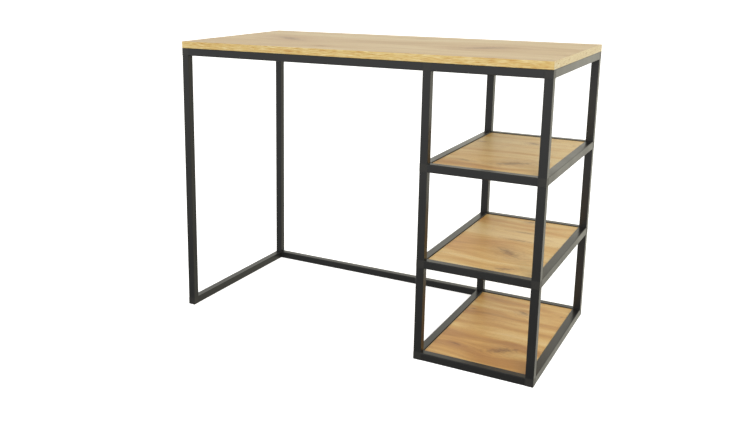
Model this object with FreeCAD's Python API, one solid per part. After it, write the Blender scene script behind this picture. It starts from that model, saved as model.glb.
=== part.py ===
"""Desk with an open three-shelf tower on its right, in square steel tube and oak-decor board.

The frame is a knock-down one: straight tubes pushed onto the ribbed spigots of moulded cube
connectors. Every joint of the frame is one cube, and a cube has one spigot for each tube that
meets it. The desktop lies on the top ring and is held by pan-head screws from inside the tubes.
Each shelf board drops into its ring, lies on four welded steel tabs and is screwed from below.
The desk has no feet: it stands on its base cubes and rails.

Millimetres. +X runs along the desk towards the tower, +Y to the back, +Z up. The origin is on
the floor, in the middle of the footprint.
"""

import FreeCAD
import Part
import os

V = FreeCAD.Vector

# Frame
LENGTH = 1000.0  # over the end posts
DEPTH = 500.0  # over the front and back posts
FRAME_HEIGHT = 740.0  # floor to the underside of the desktop
TOWER_WIDTH = 300.0  # over the tower's own posts
TUBE = 20.0  # side of the tube, and of the connector cubes
TUBE_WALL = 1.5
TUBE_CORNER_R = 1.5  # outside; a rolled tube of this wall is sharp inside

# Connectors
CUBE_EDGE_R = 0.5
SPIGOT_LENGTH = 26.0
SPIGOT_PLAY = 0.15  # from a rib to the tube's inner wall, each side
SPIGOT_CORNER_R = 1.0
SPIGOT_GROOVE = 1.4  # how deep the grooves between the ribs are
RIB_WIDTH = 3.0
RIB_COUNT = 4
NOSE_TAPER = 2.0

# Boards
TOP_THICKNESS = 18.0
TOP_BAND = 1.0  # edge band of the desktop
TOP_BAND_R = 0.6
SHELF_RECESS = 2.0  # from a rail's top face down to the shelf board
SHELF_GAP = 1.0  # round the board, inside its ring
SHELF_BAND = 0.8
SHELF_BAND_R = 0.4

# Shelf tabs, welded to the side rails
TAB_THICKNESS = 1.5
TAB_RELIEF = 0.5  # from a rail's underside up to the tab
TAB_LENGTH = 32.0  # along the rail
TAB_REACH = 20.0  # out from the rail
TAB_CORNER_R = 5.0
TAB_INSET = 60.0  # from a rail's end to the middle of its nearest tab
TAB_HOLE_REACH = 12.0  # from the rail to the middle of the screw hole

# Screws
HOLE_PLAY = 0.1  # radial, round a screw in steel or in its pilot hole
THREAD_PITCH = 1.8
THREAD_ROOT = 0.7  # root radius, as a share of the thread's radius
THREAD_FALL = 0.2  # from a ridge's crest to the root, as a share of the pitch
THREAD_FLAT = 0.3  # along the root, as a share of the pitch
POINT_LENGTH = 2.0  # of the screw's point, as a share of the thread's radius
POINT_FALL = 0.3  # from the last ridge to the root, as a share of the thread's radius
SHELF_SCREW_R = 1.5
SHELF_SCREW_COVER = 1.5  # board left above the tip
TOP_SCREW_R = 2.0
TOP_SCREW_COVER = 3.5
PAN_HEAD_R = 4.0
PAN_HEAD_HEIGHT = 2.4
PAN_HEAD_DOME = ((0.6, 1.0), (0.9, 0.6), (1.0, 0.25))  # shares of its radius and of its height
ACCESS_HOLE_PLAY = 1.0  # radial, round the pan head in the tube's lower wall
CROSS_WIDTH = 0.8
CROSS_DEPTH = 0.9
CROSS_SPAN = 0.62  # of the head's diameter
LONG_RAIL_SCREWS = 3
CROSS_RAIL_SCREWS = 2
TOWER_RAIL_SCREWS = 1

# Modelling
CUT_PAST = 1.0  # how far a cutting cylinder runs past each face of its wall
PARALLEL = 0.9  # an edge runs along an axis if the cosine between them is over this
TOUCHING = 1e-6

SHELF_LEVELS = ("base", "mid", "upper")
LEVELS = (*SHELF_LEVELS, "top")
POSTS = {"lower": ("base", "mid"), "centre": ("mid", "upper"), "upper": ("upper", "top")}
TOWER_SIDES = ("tower_left", "tower_right")
X_AXIS, Y_AXIS, Z_AXIS = V(1, 0, 0), V(0, 1, 0), V(0, 0, 1)

# Worked out from the sizes above
HALF_LENGTH = LENGTH / 2
HALF_DEPTH = DEPTH / 2
CAVITY = TUBE - 2 * TUBE_WALL
LEVEL_PITCH = (FRAME_HEIGHT - TUBE) / len(SHELF_LEVELS)
SHELF_THICKNESS = TUBE - SHELF_RECESS - TAB_THICKNESS - TAB_RELIEF
SHELF_SCREW_LENGTH = TAB_THICKNESS + SHELF_THICKNESS - SHELF_SCREW_COVER
TOP_SCREW_LENGTH = TUBE_WALL + TOP_THICKNESS - TOP_SCREW_COVER

# Low corner of the cubes along each axis
X_AT = {
    "left": -HALF_LENGTH,
    "tower_left": HALF_LENGTH - TOWER_WIDTH,
    "tower_right": HALF_LENGTH - TUBE,
}
Y_AT = {"front": -HALF_DEPTH, "back": HALF_DEPTH - TUBE}
Z_AT = {level: i * LEVEL_PITCH for i, level in enumerate(LEVELS)}


def tubes():
    """{tube's name: (joint at its low end, joint at its high end)}. A joint is (x, y, level)."""
    found = {}
    for y in Y_AT:
        found[f"left_{y}_leg"] = (("left", y, "base"), ("left", y, "top"))
        found[f"top_{y}_rail_long"] = (("left", y, "top"), ("tower_left", y, "top"))
        for side in TOWER_SIDES:
            for name, (low, high) in POSTS.items():
                found[f"{side}_{y}_post_{name}"] = ((side, y, low), (side, y, high))
        for level in LEVELS:
            found[f"{level}_tower_{y}_rail"] = (("tower_left", y, level), ("tower_right", y, level))
    found["base_back_rail_long"] = (("left", "back", "base"), ("tower_left", "back", "base"))
    for level in ("base", "top"):
        found[f"{level}_left_rail"] = (("left", "front", level), ("left", "back", level))
    for level in LEVELS:
        for side in TOWER_SIDES:
            found[f"{level}_{side}_rail"] = ((side, "front", level), (side, "back", level))
    return found


def corner_of(joint):
    """Low corner of a joint's cube."""
    x, y, level = joint
    return V(X_AT[x], Y_AT[y], Z_AT[level])


def runs_along(edge, axis):
    return abs(edge.tangentAt(edge.FirstParameter).dot(axis)) > PARALLEL


def rounded_bar(corner, size, axis, radius):
    """A box whose four edges along one axis are rounded."""
    bar = Part.makeBox(size.x, size.y, size.z, corner)
    return bar.makeFillet(radius, [e for e in bar.Edges if runs_along(e, axis)])


def tube_run(joints):
    """(low corner, length, axis) of a tube between the faces of two cubes."""
    start, end = (corner_of(j) for j in joints)
    axis = (end - start).normalize()
    return start + axis * TUBE, (end - start).Length - TUBE, axis


def bare_tube(joints):
    """A tube without holes."""
    corner, length, axis = tube_run(joints)
    across = V(1, 1, 1) - axis
    outside = rounded_bar(corner, axis * length + across * TUBE, axis, TUBE_CORNER_R)
    size = axis * length + across * CAVITY
    cavity = Part.makeBox(size.x, size.y, size.z, corner + across * TUBE_WALL)
    return outside.cut(cavity)


def top_screw_points(name, joints):
    """Where the desktop's screws pass through the top face of a top rail."""
    if not name.startswith("top_"):
        return []
    corner, length, axis = tube_run(joints)
    count = CROSS_RAIL_SCREWS
    if axis.x > PARALLEL:
        count = LONG_RAIL_SCREWS if name.endswith("long") else TOWER_RAIL_SCREWS
    middle = corner + (V(1, 1, 0) - axis) * (TUBE / 2) + Z_AXIS * TUBE
    return [middle + axis * (length * (i + 0.5) / count) for i in range(count)]


def tube(name, joints):
    """A tube, with the desktop's screw holes if it is a top rail."""
    made = bare_tube(joints)
    for point in top_screw_points(name, joints):
        upper_wall = point - Z_AXIS * (TUBE_WALL + CUT_PAST)
        lower_wall = point - Z_AXIS * (TUBE + CUT_PAST)
        depth = TUBE_WALL + 2 * CUT_PAST
        made = made.cut(Part.makeCylinder(TOP_SCREW_R + HOLE_PLAY, depth, upper_wall))
        made = made.cut(Part.makeCylinder(PAN_HEAD_R + ACCESS_HOLE_PLAY, depth, lower_wall))
    return made


def spigot():
    """A ribbed spigot that rises along +Z from the middle of a cube's face, with a tapered nose."""
    rib_side = CAVITY - 2 * SPIGOT_PLAY
    core_side = rib_side - 2 * SPIGOT_GROOVE

    def bar(side, low, high):
        corner = V(-side / 2, -side / 2, low)
        return rounded_bar(corner, V(side, side, high - low), Z_AXIS, SPIGOT_CORNER_R)

    def square(side, z):
        half = side / 2
        corners = [V(-half, -half, z), V(half, -half, z), V(half, half, z), V(-half, half, z)]
        return Part.makePolygon(corners + corners[:1])

    shoulder = SPIGOT_LENGTH - NOSE_TAPER
    made = bar(core_side, -CUBE_EDGE_R, shoulder)
    pitch = (shoulder - RIB_WIDTH) / (RIB_COUNT - 1)
    for i in range(RIB_COUNT):
        made = made.fuse(bar(rib_side, i * pitch, i * pitch + RIB_WIDTH))
    tip_side = rib_side - 2 * NOSE_TAPER
    nose = Part.makeLoft([square(rib_side, shoulder), square(tip_side, SPIGOT_LENGTH)], True)
    nose = nose.common(bar(rib_side, shoulder, SPIGOT_LENGTH))
    return made.fuse(nose)


def connector(joint, arms, one_spigot):
    """A cube with a spigot in each direction in arms."""
    corner = corner_of(joint)
    cube = Part.makeBox(TUBE, TUBE, TUBE, corner)
    made = cube.makeFillet(CUBE_EDGE_R, cube.Edges)
    centre = corner + V(1, 1, 1) * (TUBE / 2)
    for arm in arms:
        placed = one_spigot.copy()
        turn = FreeCAD.Rotation(Z_AXIS, arm)
        placed.Placement = FreeCAD.Placement(centre + arm * (TUBE / 2), turn)
        made = made.fuse(placed)
    return made


def arms_by_joint(frame):
    """{joint: directions of the tubes that meet there}."""
    arms = {}
    for low, high in frame.values():
        axis = (corner_of(high) - corner_of(low)).normalize()
        arms.setdefault(low, []).append(axis)
        arms.setdefault(high, []).append(-axis)
    return arms


def connectors(frame):
    """{node: its cubes}. The tower's cubes at a shelf level share a node."""
    one_spigot = spigot()
    nodes = {}
    for joint, arms in arms_by_joint(frame).items():
        x, y, level = joint
        shared = level in ("mid", "upper")
        name = f"connectors_{level}_level" if shared else f"connector_{level}_{x}_{y}"
        nodes.setdefault(name, []).append(connector(joint, arms, one_spigot))
    return nodes


def band(corner, size, along, outward, radius):
    """An edge band: a strip whose two long outer edges are eased."""
    strip = Part.makeBox(size.x, size.y, size.z, corner)
    outer = strip.BoundBox.Center + V(outward.x * size.x, outward.y * size.y, 0) / 2
    edges = [
        e
        for e in strip.Edges
        if runs_along(e, along) and abs((e.CenterOfMass - outer).dot(outward)) < TOUCHING
    ]
    return strip.makeFillet(radius, edges)


def edge_bands(low, high, thickness, radius):
    """(front and back, left and right) bands of a board. The long ones cover the short ones' ends."""
    long_size = V(high.x - low.x, thickness, high.z - low.z)
    short_size = V(thickness, high.y - low.y - 2 * thickness, high.z - low.z)
    front = band(low, long_size, X_AXIS, -Y_AXIS, radius)
    back = band(V(low.x, high.y - thickness, low.z), long_size, X_AXIS, Y_AXIS, radius)
    inset = V(0, thickness, 0)
    left = band(low + inset, short_size, Y_AXIS, -X_AXIS, radius)
    right = band(V(high.x - thickness, low.y, low.z) + inset, short_size, Y_AXIS, X_AXIS, radius)
    return [front, back], [left, right]


def board_core(low, high, thickness, screw_points, screw_r, depth):
    """The board inside its bands, with a blind pilot hole up from each point of its underside."""
    size = high - low - V(2 * thickness, 2 * thickness, 0)
    core = Part.makeBox(size.x, size.y, size.z, low + V(thickness, thickness, 0))
    for point in screw_points:
        core = core.cut(Part.makeCylinder(screw_r + HOLE_PLAY, depth + HOLE_PLAY, point))
    return core


def shelf_outline(level):
    """Low and high corner of a shelf board with its bands."""
    top = Z_AT[level] + TUBE - SHELF_RECESS
    low = V(X_AT["tower_left"] + TUBE + SHELF_GAP, -HALF_DEPTH + TUBE + SHELF_GAP, top - SHELF_THICKNESS)
    high = V(X_AT["tower_right"] - SHELF_GAP, HALF_DEPTH - TUBE - SHELF_GAP, top)
    return low, high


def tab_places(level):
    """(middle of the tab's edge at the rail, direction out from the rail) of each tab's underside."""
    z = Z_AT[level] + TAB_RELIEF
    reach_y = HALF_DEPTH - TUBE - TAB_INSET
    sides = ((X_AT["tower_left"] + TUBE, X_AXIS), (X_AT["tower_right"], -X_AXIS))
    return [(V(x, y, z), out) for x, out in sides for y in (-reach_y, reach_y)]


def tab(edge, out):
    """A flat tab with two rounded free corners and a countersunk hole from below."""
    x = min(edge.x, edge.x + out.x * TAB_REACH)
    plate = Part.makeBox(TAB_REACH, TAB_LENGTH, TAB_THICKNESS, V(x, edge.y - TAB_LENGTH / 2, edge.z))
    free_x = edge.x + out.x * TAB_REACH
    free_corners = [
        e
        for e in plate.Edges
        if runs_along(e, Z_AXIS) and abs(e.CenterOfMass.x - free_x) < TOUCHING
    ]
    plate = plate.makeFillet(TAB_CORNER_R, free_corners)
    head_r = SHELF_SCREW_R + TAB_THICKNESS + HOLE_PLAY
    hole = Part.makeCone(head_r, SHELF_SCREW_R + HOLE_PLAY, TAB_THICKNESS, edge + out * TAB_HOLE_REACH)
    return plate.cut(hole)


def threaded_shank(radius, low, high):
    """Outline of a ridged shank that runs from its head at low up to its sharp tip at high."""
    root = radius * THREAD_ROOT
    fall = THREAD_FALL * THREAD_PITCH
    flat = THREAD_FLAT * THREAD_PITCH
    point_at = high - POINT_LENGTH * radius
    outline = [(radius, low)]
    turns = int((point_at - low) / THREAD_PITCH)
    for i in range(turns):
        crest = point_at - (turns - i) * THREAD_PITCH
        outline += [(root, crest + fall), (root, crest + fall + flat), (radius, crest + THREAD_PITCH)]
    return outline + [(root, point_at + POINT_FALL * radius), (0, high)]


def revolved(outline, place):
    """The solid that an outline of (radius, height) points makes round +Z, moved to place."""
    points = [V(r, 0, z) for r, z in outline]
    face = Part.Face(Part.makePolygon(points + [points[0]]))
    made = face.revolve(V(0, 0, 0), Z_AXIS, 360)
    made = made if isinstance(made, Part.Solid) else Part.Solid(made)
    made.translate(place)
    return made


def with_cross(screw, head_r, place):
    """Cuts a cross recess up into the underside of a screw's head."""
    span = 2 * head_r * CROSS_SPAN
    for size_x, size_y in ((span, CROSS_WIDTH), (CROSS_WIDTH, span)):
        slot = Part.makeBox(size_x, size_y, CROSS_DEPTH, place - V(size_x / 2, size_y / 2, 0))
        screw = screw.cut(slot)
    return screw


def shelf_screw(place):
    """A countersunk screw that points up, its head flush with the underside of its tab."""
    head_r = SHELF_SCREW_R + TAB_THICKNESS
    outline = [(0, 0), (head_r, 0)] + threaded_shank(SHELF_SCREW_R, TAB_THICKNESS, SHELF_SCREW_LENGTH)
    return with_cross(revolved(outline, place), head_r, place)


def top_screw(point):
    """A pan-head screw inside a top rail, pointing up through the rail's upper wall at point."""
    seat = point - Z_AXIS * TUBE_WALL
    dome = [(r * PAN_HEAD_R, -h * PAN_HEAD_HEIGHT) for r, h in PAN_HEAD_DOME]
    outline = [(0, -PAN_HEAD_HEIGHT), *dome, (PAN_HEAD_R, 0)]
    outline += threaded_shank(TOP_SCREW_R, 0, TOP_SCREW_LENGTH)
    flat_r = dome[0][0]
    return with_cross(revolved(outline, seat), flat_r, seat - Z_AXIS * PAN_HEAD_HEIGHT)


def desktop(screw_points):
    """{node: solids} of the desktop, whose outline is the frame's."""
    low = V(-HALF_LENGTH, -HALF_DEPTH, FRAME_HEIGHT)
    high = V(HALF_LENGTH, HALF_DEPTH, FRAME_HEIGHT + TOP_THICKNESS)
    long_bands, short_bands = edge_bands(low, high, TOP_BAND, TOP_BAND_R)
    depth = TOP_SCREW_LENGTH - TUBE_WALL
    return {
        "desktop_board": [board_core(low, high, TOP_BAND, screw_points, TOP_SCREW_R, depth)],
        "desktop_edge_bands_long": long_bands,
        "desktop_edge_bands_short": short_bands,
        "desktop_screws": [top_screw(point) for point in screw_points],
    }


def shelves():
    """{node: solids} of the shelf boards with their bands, tabs and screws."""
    nodes = {"shelf_edge_bands": [], "shelf_tabs": [], "shelf_screws": []}
    for level in SHELF_LEVELS:
        low, high = shelf_outline(level)
        places = tab_places(level)
        heads = [edge + out * TAB_HOLE_REACH for edge, out in places]
        pilots = [head + Z_AXIS * TAB_THICKNESS for head in heads]
        depth = SHELF_SCREW_LENGTH - TAB_THICKNESS
        nodes[f"shelf_board_{level}"] = [
            board_core(low, high, SHELF_BAND, pilots, SHELF_SCREW_R, depth)
        ]
        for bands in edge_bands(low, high, SHELF_BAND, SHELF_BAND_R):
            nodes["shelf_edge_bands"] += bands
        nodes["shelf_tabs"] += [tab(edge, out) for edge, out in places]
        nodes["shelf_screws"] += [shelf_screw(head) for head in heads]
    return nodes


def export(name, solids):
    """Writes a node's solids to its STEP file, each of them checked."""
    shape = solids[0] if len(solids) == 1 else Part.makeCompound(solids)
    for solid in shape.Solids:
        if not solid.isValid() or solid.Volume <= 0:
            raise ValueError(f"{name} has a solid that is not valid")
    shape.exportStep(os.path.join("parts", f"{name}.step"))


def main():
    os.makedirs("parts", exist_ok=True)
    frame = tubes()
    nodes = {name: [tube(name, joints)] for name, joints in frame.items()}
    nodes.update(connectors(frame))
    screw_points = [p for name, joints in frame.items() for p in top_screw_points(name, joints)]
    nodes.update(desktop(screw_points))
    nodes.update(shelves())
    for name, solids in nodes.items():
        export(name, solids)
    print(f"{len(nodes)} nodes, {sum(len(s) for s in nodes.values())} pieces")


main()
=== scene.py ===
"""Look of the desk: powder-coated tube, moulded cubes and oak-decor boards, in a pale studio.

Metres, in the frame's own axes: +X towards the shelf tower, +Y to the back, +Z up.
"""

import bpy
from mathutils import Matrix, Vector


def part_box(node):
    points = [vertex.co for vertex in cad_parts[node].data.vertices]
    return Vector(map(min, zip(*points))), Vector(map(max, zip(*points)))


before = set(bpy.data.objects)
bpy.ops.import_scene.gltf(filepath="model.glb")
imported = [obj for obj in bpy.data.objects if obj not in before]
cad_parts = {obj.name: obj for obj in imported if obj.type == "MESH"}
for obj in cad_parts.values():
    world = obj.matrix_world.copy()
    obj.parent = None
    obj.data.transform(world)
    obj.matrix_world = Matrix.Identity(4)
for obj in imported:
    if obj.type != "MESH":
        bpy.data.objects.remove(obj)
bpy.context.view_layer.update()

import bpy
import math
from mathutils import Euler, Vector


def srgb(r, g, b):
    """Linear colour of an 8-bit sRGB one."""
    def linear(c):
        c /= 255
        return c / 12.92 if c <= 0.04045 else ((c + 0.055) / 1.055) ** 2.4
    return linear(r), linear(g), linear(b), 1.0


# Camera
CAMERA_AT = (0.9379, -2.0750, 0.9471)
CAMERA_PITCH = -0.215  # above the horizon
CAMERA_YAW = -0.529  # from +Y towards +X
CAMERA_ROLL = -0.002
SENSOR = 36.0
LENS = 40.457
SHIFT = (0.10, -0.075)

# Floor and key light
FLOOR_SIZE = 60.0
FLOOR_TONES = ((0.92, 0.92, 0.91, 1.0), (0.94, 0.94, 0.94, 1.0))
FLOOR_CLOUDS = 3.0  # to a metre
FLOOR_ROUGHNESS = 0.9
FLOOR_GLOW = 0.7
WHITE = (1.0, 1.0, 1.0, 1.0)
BLACK = (0.0, 0.0, 0.0, 1.0)
KEY_FROM = (4.0, -6.9, 3.8)
KEY_AT = (0.0, 0.0, 0.4)
KEY_SIZE = 5.2
KEY_POWER = 540.0

# Studio all round. A direction is a unit vector, and the pairs are where one part turns into the next.
BACKDROP = WHITE  # what shows round the desk
SKY_WARM = (1.0, 0.97, 0.82, 1.0)  # behind on the right
SKY_COOL = (0.98, 0.99, 1.0, 1.0)  # in front on the left
SKY_RIGHT = 0.46  # how bright the studio is behind on the right, next to the rest
SKY_LEFT = 2.2  # and far to the left
SKY_FRONT_LEFT = 0.7  # and in front on the left
COOL_TO_WARM = (-1.0, 1.0)  # the direction's x and y added
FRONT_TO_BACK = (-0.35, 0.35)  # its y
FRONT_TO_FRONT_LEFT = (-0.35, -0.65)  # its x
MIDDLE_TO_RIGHT = (0.22, 0.5)  # its x
FRONT_TO_BACK_RIGHT = (-0.2, 0.3)  # its y
MIDDLE_TO_FAR_LEFT = (-0.8, -0.95)  # its x
# Brightness at heights from straight down (0) to straight up (1)
SKY_BEHIND = (
    (0.0, 0.6), (0.3, 1.0), (0.45, 1.4), (0.5, 1.38), (0.6, 1.10), (0.7, 0.95), (0.8, 0.80), (1.0, 0.5),
)
SKY_IN_FRONT = (
    (0.0, 0.0), (0.24, 0.0), (0.34, 0.28), (0.43, 1.0), (0.5, 1.25), (0.7, 1.15), (0.85, 0.8), (1.0, 0.5),
)

# Powder coat, nylon and zinc: tones and roughness at the ends of a slow drift. Scales are to a metre.
MOST = (0.3, 0.7)  # where most of a noise's values lie
COAT_TONES = (srgb(27, 27, 26), srgb(31, 31, 30))
COAT_ROUGHNESS = (0.28, 0.35)
COAT_DRIFT = 9.0
COAT_PEEL = 900.0
COAT_GRIT = 3200.0
COAT_GRIT_HEIGHT = 0.5  # next to the peel's
NYLON_TONES = (srgb(35, 34, 32), srgb(40, 39, 36))
NYLON_ROUGHNESS = (0.36, 0.44)
NYLON_DRIFT = 14.0
NYLON_SPARK = 2400.0
ZINC_TONES = ((0.42, 0.43, 0.44, 1.0), (0.6, 0.61, 0.6, 1.0))
ZINC_ROUGHNESS = (0.28, 0.42)
ZINC_CLOUDS = 700.0

# Oak decor, from its darkest band to its lightest
BOARD_TONES = (
    srgb(189, 136, 72), srgb(211, 161, 88), srgb(222, 180, 106), srgb(232, 197, 127), srgb(240, 212, 151),
)
TOP_TONES = (
    srgb(180, 146, 96), srgb(191, 159, 110), srgb(199, 170, 123), srgb(206, 180, 136), srgb(213, 193, 154),
)
LONG_EDGE_TONES = (
    srgb(176, 128, 62), srgb(191, 156, 86), srgb(199, 172, 106), srgb(207, 184, 124), srgb(216, 199, 150),
)
# The desktop's end bands: the same oak decor made paler, as painted light on the desktop's side faces
SHORT_EDGE_TONES_PAINTED_LIGHT = (
    srgb(192, 152, 92), srgb(201, 170, 106), srgb(207, 182, 120), srgb(213, 192, 136), srgb(220, 205, 160),
)
PORE_TONE = srgb(140, 98, 58)
KNOT_HALO_TONE = srgb(158, 104, 60)
KNOT_CORE_TONE = srgb(102, 60, 40)

# Grain of a board: features to a metre along it, across it and down into the board
GRAIN_SWAY = (2.6, 5.0, 3.0)
GRAIN_SWAY_BY = 0.055  # m, how far it bends the grain
GRAIN_RIPPLE = (12.0, 26.0, 3.0)
GRAIN_RIPPLE_BY = 0.008
GRAIN_BANDS = (1.6, 15.0, 2.0)
GRAIN_PATCHES = (5.0, 30.0, 2.0)
GRAIN_STREAKS = (16.0, 240.0, 2.0)
GRAIN_FLECKS = (34.0, 560.0, 2.0)
GRAIN_FIBRES = (38.0, 1250.0, 2.0)
GRAIN_PORES = (70.0, 1900.0, 9.0)
GRAIN_RINGS = (1.6, 11.0, 2.0)
RINGS_TO_A_FEATURE = 17.0
TOP_STRETCH = 1.6  # how much longer the desktop's grain is than a shelf's

# How much each layer says about the tone, and the tones' places in the sum
BANDS_SHARE = 0.34
PATCHES_SHARE = 0.30
ACROSS_SHARE = (0.08, 0.28)
BOARD_STOPS = (0.38, 0.45, 0.50, 0.55, 0.63)

# Layers over the tone: the noise where each starts, where it is strongest, and how strong it is there
DARK_STREAKS = (0.52, 0.70, 0.20)
PALE_STREAKS = (0.48, 0.30, 0.14)
RING_LINES = (0.62, 0.96, 0.08)
DARK_FLECKS = (0.55, 0.72, 0.40)
DARK_FIBRES = (0.54, 0.70, 0.35)
PORE_MARKS = (0.63, 0.70, 0.40)
FIBRE_HEIGHT = 0.4  # next to a pore's depth
BOARD_ROUGHNESS = (0.39, 0.49)

# A knot: its halo and core in shares of its length and width, with layers counted from its middle
KNOT_BEND = 0.75  # how strongly it pushes the grain aside
KNOT_BEND_SIZE = (1.0, 2.2)
KNOT_CRACKS = (75.0, 150.0, 1.0)  # to a metre along the grain, across it and into the board
KNOT_RAGGEDNESS = 3.0
HALO_SIZE = (0.9, 1.3)
HALO_LAYER = (1.6, 0.0, 0.42)
CORE_SIZE = (0.55, 0.45)
CORE_LAYER = (1.3, 0.1, 0.55)

# Edge band: features to a metre along it, across it and into it
EDGE_SWAY = (9.0, 20.0, 9.0)
EDGE_SWAY_BY = 0.005
EDGE_PATCHES = (9.0, 140.0, 9.0)
EDGE_PATCHES_SHARE = 0.22
EDGE_FLECKS = (40.0, 640.0, 40.0)
EDGE_FLECKS_SHARE = 0.78
EDGE_FIBRES = (120.0, 2400.0, 120.0)
EDGE_DARK_FIBRES = (0.52, 0.70, 0.40)
EDGE_STOPS = (0.36, 0.44, 0.50, 0.56, 0.64)
EDGE_ROUGHNESS = (0.26, 0.34)

# How light the decor is across a board, from 0 at its front edge to 1 at its back edge
SHELF_BANDS = (
    (0.0, 0.0), (0.13, 0.05), (0.22, 0.40), (0.28, 0.25), (0.35, 0.55), (0.41, 0.85),
    (0.47, 0.35), (0.55, 0.80), (0.66, 0.30), (0.80, 0.75), (0.90, 0.45), (1.0, 0.55),
)
# Painted shade on the base shelf and painted light on the upper shelf: their decor is made darker or
# lighter by these amounts, standing in for how the light falls on each
BASE_PAINTED_SHADE = -0.14
UPPER_PAINTED_LIGHT = 0.34
MID_SHELF_BANDS = (
    (0.0, 0.40), (0.07, 0.45), (0.15, 0.80), (0.23, 0.30), (0.32, 0.50), (0.45, 0.40),
    (0.53, 0.55), (0.65, 0.90), (0.76, 0.75), (0.88, 0.58), (1.0, 0.68),
)
TOP_BANDS = (
    (0.0, 0.40), (0.12, 0.50), (0.22, 0.38), (0.33, 0.45), (0.45, 0.70), (0.55, 0.66),
    (0.66, 0.60), (0.80, 0.75), (0.92, 0.60), (1.0, 0.50),
)

# Knots of each board: along the grain and across it from the board's middle, length, width, tilt
TOP_KNOTS = (
    (-0.300, -0.008, 0.120, 0.044, -0.66),
    (0.276, -0.012, 0.116, 0.046, 0.62),
    (0.03, 0.165, 0.034, 0.011, 0.2),
    (-0.11, -0.175, 0.026, 0.009, -0.3),
)
SHELF_KNOTS = (
    (0.036, -0.131, 0.072, 0.027, 0.58),
    (0.020, 0.131, 0.030, 0.015, -0.5),
    (0.117, 0.156, 0.006, 0.004, 0.0),
    (-0.112, 0.093, 0.016, 0.006, 0.1),
    (-0.076, -0.150, 0.034, 0.008, -0.25),
)
MID_SHELF_KNOTS = (
    (0.026, -0.077, 0.072, 0.027, -0.72),
    (0.006, 0.208, 0.028, 0.014, 0.1),
    (0.055, -0.200, 0.036, 0.014, 0.3),
    (0.020, 0.104, 0.050, 0.006, 0.0),
    (0.022, 0.030, 0.055, 0.006, -0.05),
)


class Nodes:
    """The node tree of a material or world, with short calls for the nodes used here."""

    def __init__(self, owner):
        self.owner = bpy.data.materials.new(owner) if isinstance(owner, str) else owner
        self.owner.use_nodes = True
        self.tree = self.owner.node_tree
        self.shader = self.tree.nodes.get("Principled BSDF")

    def add(self, kind, **inputs):
        node = self.tree.nodes.new(kind)
        for key, value in inputs.items():
            self.put(node, key.replace("_", " "), value)
        return node

    def put(self, node, key, value):
        socket = node.inputs[key]
        if isinstance(value, bpy.types.NodeSocket):
            self.tree.links.new(value, socket)
        else:
            socket.default_value = value

    def math(self, operation, a, b=0.0):
        node = self.tree.nodes.new("ShaderNodeMath")
        node.operation = operation
        self.put(node, 0, a)
        self.put(node, 1, b)
        return node.outputs[0]

    def plus(self, a, b):
        return self.math("ADD", a, b)

    def minus(self, a, b):
        return self.math("SUBTRACT", a, b)

    def times(self, a, b):
        return self.math("MULTIPLY", a, b)

    def span(self, value, low, high, to_low=0.0, to_high=1.0):
        """to_low where the value is low, to_high where it is high, and in between in proportion."""
        node = self.tree.nodes.new("ShaderNodeMapRange")
        for i, v in enumerate((value, low, high, to_low, to_high)):
            self.put(node, i, v)
        return node.outputs[0]

    def mix(self, factor, a, b, blend="MIX"):
        """Two colours mixed: the node's sockets 6 and 7 take them, and its output 2 is the colour."""
        node = self.tree.nodes.new("ShaderNodeMix")
        node.data_type = "RGBA"
        node.blend_type = blend
        self.put(node, 0, factor)
        self.put(node, 6, a)
        self.put(node, 7, b)
        return node.outputs[2]

    def layer(self, under, over, value, start, full, strength):
        """One colour over another, from nothing where the value is start to strength where it is full."""
        return self.mix(self.span(value, start, full, 0.0, strength), under, over)

    def ramp(self, factor, stops, interpolation="LINEAR"):
        """Colours, or brightnesses, at places from 0 to 1."""
        node = self.tree.nodes.new("ShaderNodeValToRGB")
        node.color_ramp.interpolation = interpolation
        elements = node.color_ramp.elements
        while len(elements) < len(stops):
            elements.new(0.5)
        for element, (position, colour) in zip(elements, stops):
            element.position = position
            element.color = colour if isinstance(colour, tuple) else (colour, colour, colour, 1.0)
        self.put(node, 0, factor)
        return node.outputs[0]

    def noise(self, place, scale, detail, roughness=0.5):
        node = self.add("ShaderNodeTexNoise", Scale=scale, Detail=detail, Roughness=roughness, Vector=place)
        return node.outputs[0]

    def grain(self, place, scales, detail, roughness=0.5):
        """Noise that is drawn out: scales are its features to a metre along each of place's axes."""
        x, y, z = place
        drawn_out = self.tree.nodes.new("ShaderNodeVectorMath")
        drawn_out.operation = "MULTIPLY"
        self.put(drawn_out, 0, self.add("ShaderNodeCombineXYZ", X=x, Y=y, Z=z).outputs[0])
        self.put(drawn_out, 1, scales)
        return self.noise(drawn_out.outputs[0], 1.0, detail, roughness)

    def centred(self, noise, size):
        """A noise that goes both ways from zero."""
        return self.times(self.minus(noise, 0.5), size)

    def place(self):
        """Object coordinates, which are the frame's, in metres."""
        return self.tree.nodes.new("ShaderNodeTexCoord").outputs["Object"]

    def axes(self, order, origin=(0.0, 0.0)):
        """Three coordinates in that order of the letters x, y and z, the first two counted from origin."""
        split = self.add("ShaderNodeSeparateXYZ", Vector=self.place())
        u, v, w = (split.outputs["xyz".index(letter)] for letter in order)
        return self.minus(u, origin[0]), self.minus(v, origin[1]), w

    def bump(self, height, strength, distance):
        return self.add("ShaderNodeBump", Strength=strength, Distance=distance, Height=height).outputs[0]

    def finish(self, **inputs):
        for key, value in inputs.items():
            self.put(self.shader, key.replace("_", " "), value)
        return self.owner


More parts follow.
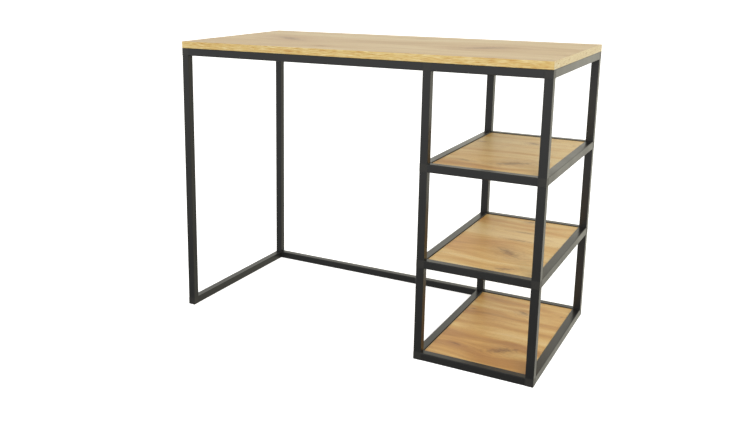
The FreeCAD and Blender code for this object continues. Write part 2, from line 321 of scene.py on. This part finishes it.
def powder_coat():
    n = Nodes("powder_coat")
    place = n.place()
    drift = n.noise(place, COAT_DRIFT, detail=2.0)
    peel = n.noise(place, COAT_PEEL, detail=2.0)
    grit = n.noise(place, COAT_GRIT, detail=1.0)
    relief = n.plus(peel, n.times(grit, COAT_GRIT_HEIGHT))
    return n.finish(
        Base_Color=n.ramp(drift, list(zip(MOST, COAT_TONES))),
        Roughness=n.span(drift, *MOST, *COAT_ROUGHNESS),
        Normal=n.bump(relief, strength=0.2, distance=0.0001),
    )


def nylon():
    n = Nodes("nylon")
    place = n.place()
    drift = n.noise(place, NYLON_DRIFT, detail=2.0)
    spark = n.noise(place, NYLON_SPARK, detail=2.0)
    return n.finish(
        Base_Color=n.ramp(drift, list(zip(MOST, NYLON_TONES))),
        Roughness=n.span(drift, *MOST, *NYLON_ROUGHNESS),
        Normal=n.bump(spark, strength=0.3, distance=0.0001),
    )


def zinc():
    n = Nodes("zinc")
    clouds = n.noise(n.place(), ZINC_CLOUDS, detail=3.0)
    return n.finish(
        Base_Color=n.ramp(clouds, list(zip(MOST, ZINC_TONES))),
        Metallic=1.0,
        Roughness=n.span(clouds, *MOST, *ZINC_ROUGHNESS),
        Normal=n.bump(clouds, strength=0.1, distance=0.00005),
    )


def knot_layers(n, u, v, knot):
    """How far the grain is pushed off the knot, and how far out each point is of its halo and its core."""
    at_u, at_v, length, width, tilt = knot
    du = n.minus(u, at_u)
    dv = n.minus(v, at_v)
    c = math.cos(tilt)
    s = math.sin(tilt)
    along = n.plus(n.times(du, c), n.times(dv, s))
    across = n.minus(n.times(dv, c), n.times(du, s))
    ragged = n.centred(n.grain((du, dv, 0.0), KNOT_CRACKS, detail=4.0, roughness=0.6), KNOT_RAGGEDNESS)

    def out_squared(size):
        """Square of the distance from the knot's middle: 1 on an ellipse of that share of the knot."""
        a = n.math("DIVIDE", along, size[0] * length)
        b = n.math("DIVIDE", across, size[1] * width)
        return n.plus(n.times(a, a), n.times(b, b))

    near = n.math("EXPONENT", n.times(out_squared(KNOT_BEND_SIZE), -1.0))
    push = n.times(n.times(dv, near), -KNOT_BEND)
    halo = n.plus(n.math("SQRT", out_squared(HALO_SIZE)), ragged)
    core = n.plus(n.math("SQRT", out_squared(CORE_SIZE)), ragged)
    return push, halo, core


def oak(node, knots, bands_across, tones=BOARD_TONES, stretch=1.0):
    """Oak decor of a board, with its grain along X."""
    n = Nodes("oak_" + node)
    (left, front, _), (right, back, _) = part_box(node)
    u, v, depth = n.axes("xyz", ((left + right) / 2, (front + back) / 2))
    layers = [knot_layers(n, u, v, knot) for knot in knots]

    def grain(line, scales, detail, roughness=0.5):
        along, across, inward = scales
        return n.grain((u, line, depth), (along / stretch, across, inward), detail, roughness)

    bent = n.plus(v, n.centred(grain(v, GRAIN_SWAY, detail=1.0), GRAIN_SWAY_BY))
    bent = n.plus(bent, n.centred(grain(v, GRAIN_RIPPLE, detail=2.0), GRAIN_RIPPLE_BY))
    for push, _, _ in layers:
        bent = n.plus(bent, push)

    half_depth = (back - front) / 2
    across_board = n.ramp(n.span(bent, -half_depth, half_depth), bands_across, "EASE")
    bands = grain(bent, GRAIN_BANDS, detail=2.0)
    patches = grain(bent, GRAIN_PATCHES, detail=2.0, roughness=0.45)
    streaks = grain(bent, GRAIN_STREAKS, detail=4.0, roughness=0.65)
    flecks = grain(bent, GRAIN_FLECKS, detail=2.0, roughness=0.6)
    fibres = grain(bent, GRAIN_FIBRES, detail=2.0, roughness=0.6)
    pores = grain(bent, GRAIN_PORES, detail=1.0)
    ring_field = n.grain((u, bent, depth), GRAIN_RINGS, detail=1.0)
    rings = n.math("FRACT", n.times(ring_field, RINGS_TO_A_FEATURE))

    tone = n.plus(n.times(bands, BANDS_SHARE), n.times(patches, PATCHES_SHARE))
    tone = n.plus(tone, n.span(across_board, 0.0, 1.0, *ACROSS_SHARE))
    colour = n.ramp(tone, list(zip(BOARD_STOPS, tones)))
    dark = tones[0]
    pale = tones[-1]
    colour = n.layer(colour, dark, streaks, *DARK_STREAKS)
    colour = n.layer(colour, pale, streaks, *PALE_STREAKS)
    colour = n.layer(colour, dark, rings, *RING_LINES)
    colour = n.layer(colour, dark, flecks, *DARK_FLECKS)
    colour = n.layer(colour, dark, fibres, *DARK_FIBRES)
    colour = n.layer(colour, PORE_TONE, pores, *PORE_MARKS)
    for _, halo, core in layers:
        colour = n.layer(colour, KNOT_HALO_TONE, halo, *HALO_LAYER)
        colour = n.layer(colour, KNOT_CORE_TONE, core, *CORE_LAYER)
    pore_depth = n.span(pores, *PORE_MARKS[:2])
    relief = n.minus(n.times(fibres, FIBRE_HEIGHT), pore_depth)
    return n.finish(
        Base_Color=colour,
        Roughness=n.span(streaks, *MOST, *BOARD_ROUGHNESS),
        Specular_IOR_Level=0.65,
        Normal=n.bump(relief, strength=0.25, distance=0.00006),
    )


def oak_edge(name, axes, tones=LONG_EDGE_TONES):
    """Oak-decor edge band, with short golden flecks along the first of axes."""
    n = Nodes(name)
    u, v, depth = n.axes(axes)
    bent = n.plus(v, n.centred(n.grain((u, v, depth), EDGE_SWAY, detail=1.0), EDGE_SWAY_BY))
    place = (u, bent, depth)
    patches = n.grain(place, EDGE_PATCHES, detail=2.0)
    flecks = n.grain(place, EDGE_FLECKS, detail=3.0, roughness=0.6)
    fibres = n.grain(place, EDGE_FIBRES, detail=2.0)
    tone = n.plus(n.times(patches, EDGE_PATCHES_SHARE), n.times(flecks, EDGE_FLECKS_SHARE))
    colour = n.ramp(tone, list(zip(EDGE_STOPS, tones)))
    return n.finish(
        Base_Color=n.layer(colour, tones[0], fibres, *EDGE_DARK_FIBRES),
        Roughness=n.span(flecks, *MOST, *EDGE_ROUGHNESS),
        Specular_IOR_Level=0.6,
        Normal=n.bump(fibres, strength=0.2, distance=0.00005),
    )


def lighter(bands_across, by):
    """The same bands with painted light or shade: all of them lighter, or darker where by is below zero."""
    return [(at, min(1.0, max(0.0, light + by))) for at, light in bands_across]


def paint(node, material):
    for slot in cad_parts[node].material_slots:
        slot.material = material


def dress():
    """Give every CAD node its material."""
    steel = powder_coat()
    cube = nylon()
    screw = zinc()
    # Painted shade on the base shelf and painted light on the upper shelf, as darker and lighter copies of
    # the same decor
    base_bands_painted_shade = lighter(SHELF_BANDS, BASE_PAINTED_SHADE)
    upper_bands_painted_light = lighter(SHELF_BANDS, UPPER_PAINTED_LIGHT)
    wood = {
        "desktop_board": oak("desktop_board", TOP_KNOTS, TOP_BANDS, TOP_TONES, TOP_STRETCH),
        "shelf_board_base": oak("shelf_board_base", SHELF_KNOTS, base_bands_painted_shade),
        "shelf_board_mid": oak("shelf_board_mid", MID_SHELF_KNOTS, MID_SHELF_BANDS),
        "shelf_board_upper": oak("shelf_board_upper", SHELF_KNOTS, upper_bands_painted_light),
        "desktop_edge_bands_long": oak_edge("oak_band_long", "xzy"),
        # The end bands take the paler tones, painted light on the desktop's side faces
        "desktop_edge_bands_short": oak_edge("oak_band_short", "yzx", SHORT_EDGE_TONES_PAINTED_LIGHT),
        "shelf_edge_bands": oak_edge("oak_band_shelf", "yzx"),
    }
    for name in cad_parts:
        if name.startswith("connector"):
            paint(name, cube)
        elif name.endswith("screws"):
            paint(name, screw)
        else:
            paint(name, wood.get(name, steel))


def floor():
    bpy.ops.mesh.primitive_plane_add(size=FLOOR_SIZE)
    plane = bpy.context.object
    plane.name = "floor"
    n = Nodes("floor")
    clouds = n.noise(n.place(), FLOOR_CLOUDS, detail=2.0)
    n.finish(
        Base_Color=n.ramp(clouds, list(zip(MOST, FLOOR_TONES))),
        Roughness=FLOOR_ROUGHNESS,
        Emission_Color=WHITE,
        Emission_Strength=FLOOR_GLOW,
    )
    plane.data.materials.append(n.owner)
    plane.visible_diffuse = False
    plane.visible_glossy = False


def sky():
    """A pale studio all round, dark under the floor in front of the desk."""
    n = Nodes(bpy.data.worlds.new("studio"))
    direction = n.tree.nodes.new("ShaderNodeTexCoord").outputs["Generated"]
    x, y, z = n.add("ShaderNodeSeparateXYZ", Vector=direction).outputs
    height = n.span(z, -1.0, 1.0)
    behind = n.ramp(height, SKY_BEHIND)
    in_front = n.layer(n.ramp(height, SKY_IN_FRONT), BLACK, x, *FRONT_TO_FRONT_LEFT, 1.0 - SKY_FRONT_LEFT)
    brightness = n.mix(n.span(y, *FRONT_TO_BACK), in_front, behind)

    tint = n.mix(n.span(n.plus(x, y), *COOL_TO_WARM), SKY_COOL, SKY_WARM)
    right = n.times(n.span(x, *MIDDLE_TO_RIGHT), n.span(y, *FRONT_TO_BACK_RIGHT))
    tint = n.mix(right, tint, tuple(SKY_RIGHT * c for c in SKY_WARM))
    left = n.span(x, *MIDDLE_TO_FAR_LEFT, 1.0, SKY_LEFT)
    left = n.add("ShaderNodeCombineXYZ", X=left, Y=left, Z=left).outputs[0]
    tint = n.mix(1.0, tint, left, "MULTIPLY")

    light = n.mix(1.0, brightness, tint, "MULTIPLY")
    seen = n.tree.nodes.new("ShaderNodeLightPath").outputs["Is Camera Ray"]
    n.put(n.tree.nodes["Background"], "Color", n.mix(seen, light, BACKDROP))
    bpy.context.scene.world = n.owner


def key():
    """A large soft light in front of the desk, to the right of it and above it."""
    data = bpy.data.lights.new("key", "AREA")
    data.energy = KEY_POWER
    data.shape = "SQUARE"
    data.size = KEY_SIZE
    lamp = bpy.data.objects.new("key", data)
    bpy.context.collection.objects.link(lamp)
    lamp.visible_glossy = False
    lamp.location = KEY_FROM
    aim = Vector(KEY_AT) - Vector(KEY_FROM)
    lamp.rotation_euler = aim.to_track_quat("-Z", "Y").to_euler()


def camera():
    data = bpy.data.cameras.new("camera")
    data.sensor_width = SENSOR
    data.lens = LENS
    data.shift_x, data.shift_y = SHIFT
    eye = bpy.data.objects.new("camera", data)
    bpy.context.collection.objects.link(eye)
    eye.location = CAMERA_AT
    eye.rotation_euler = Euler((math.pi / 2 + CAMERA_PITCH, CAMERA_ROLL, -CAMERA_YAW), "XYZ")
    bpy.context.scene.camera = eye


camera()
dress()
floor()
sky()
key()
bpy.context.scene.view_settings.view_transform = "Standard"
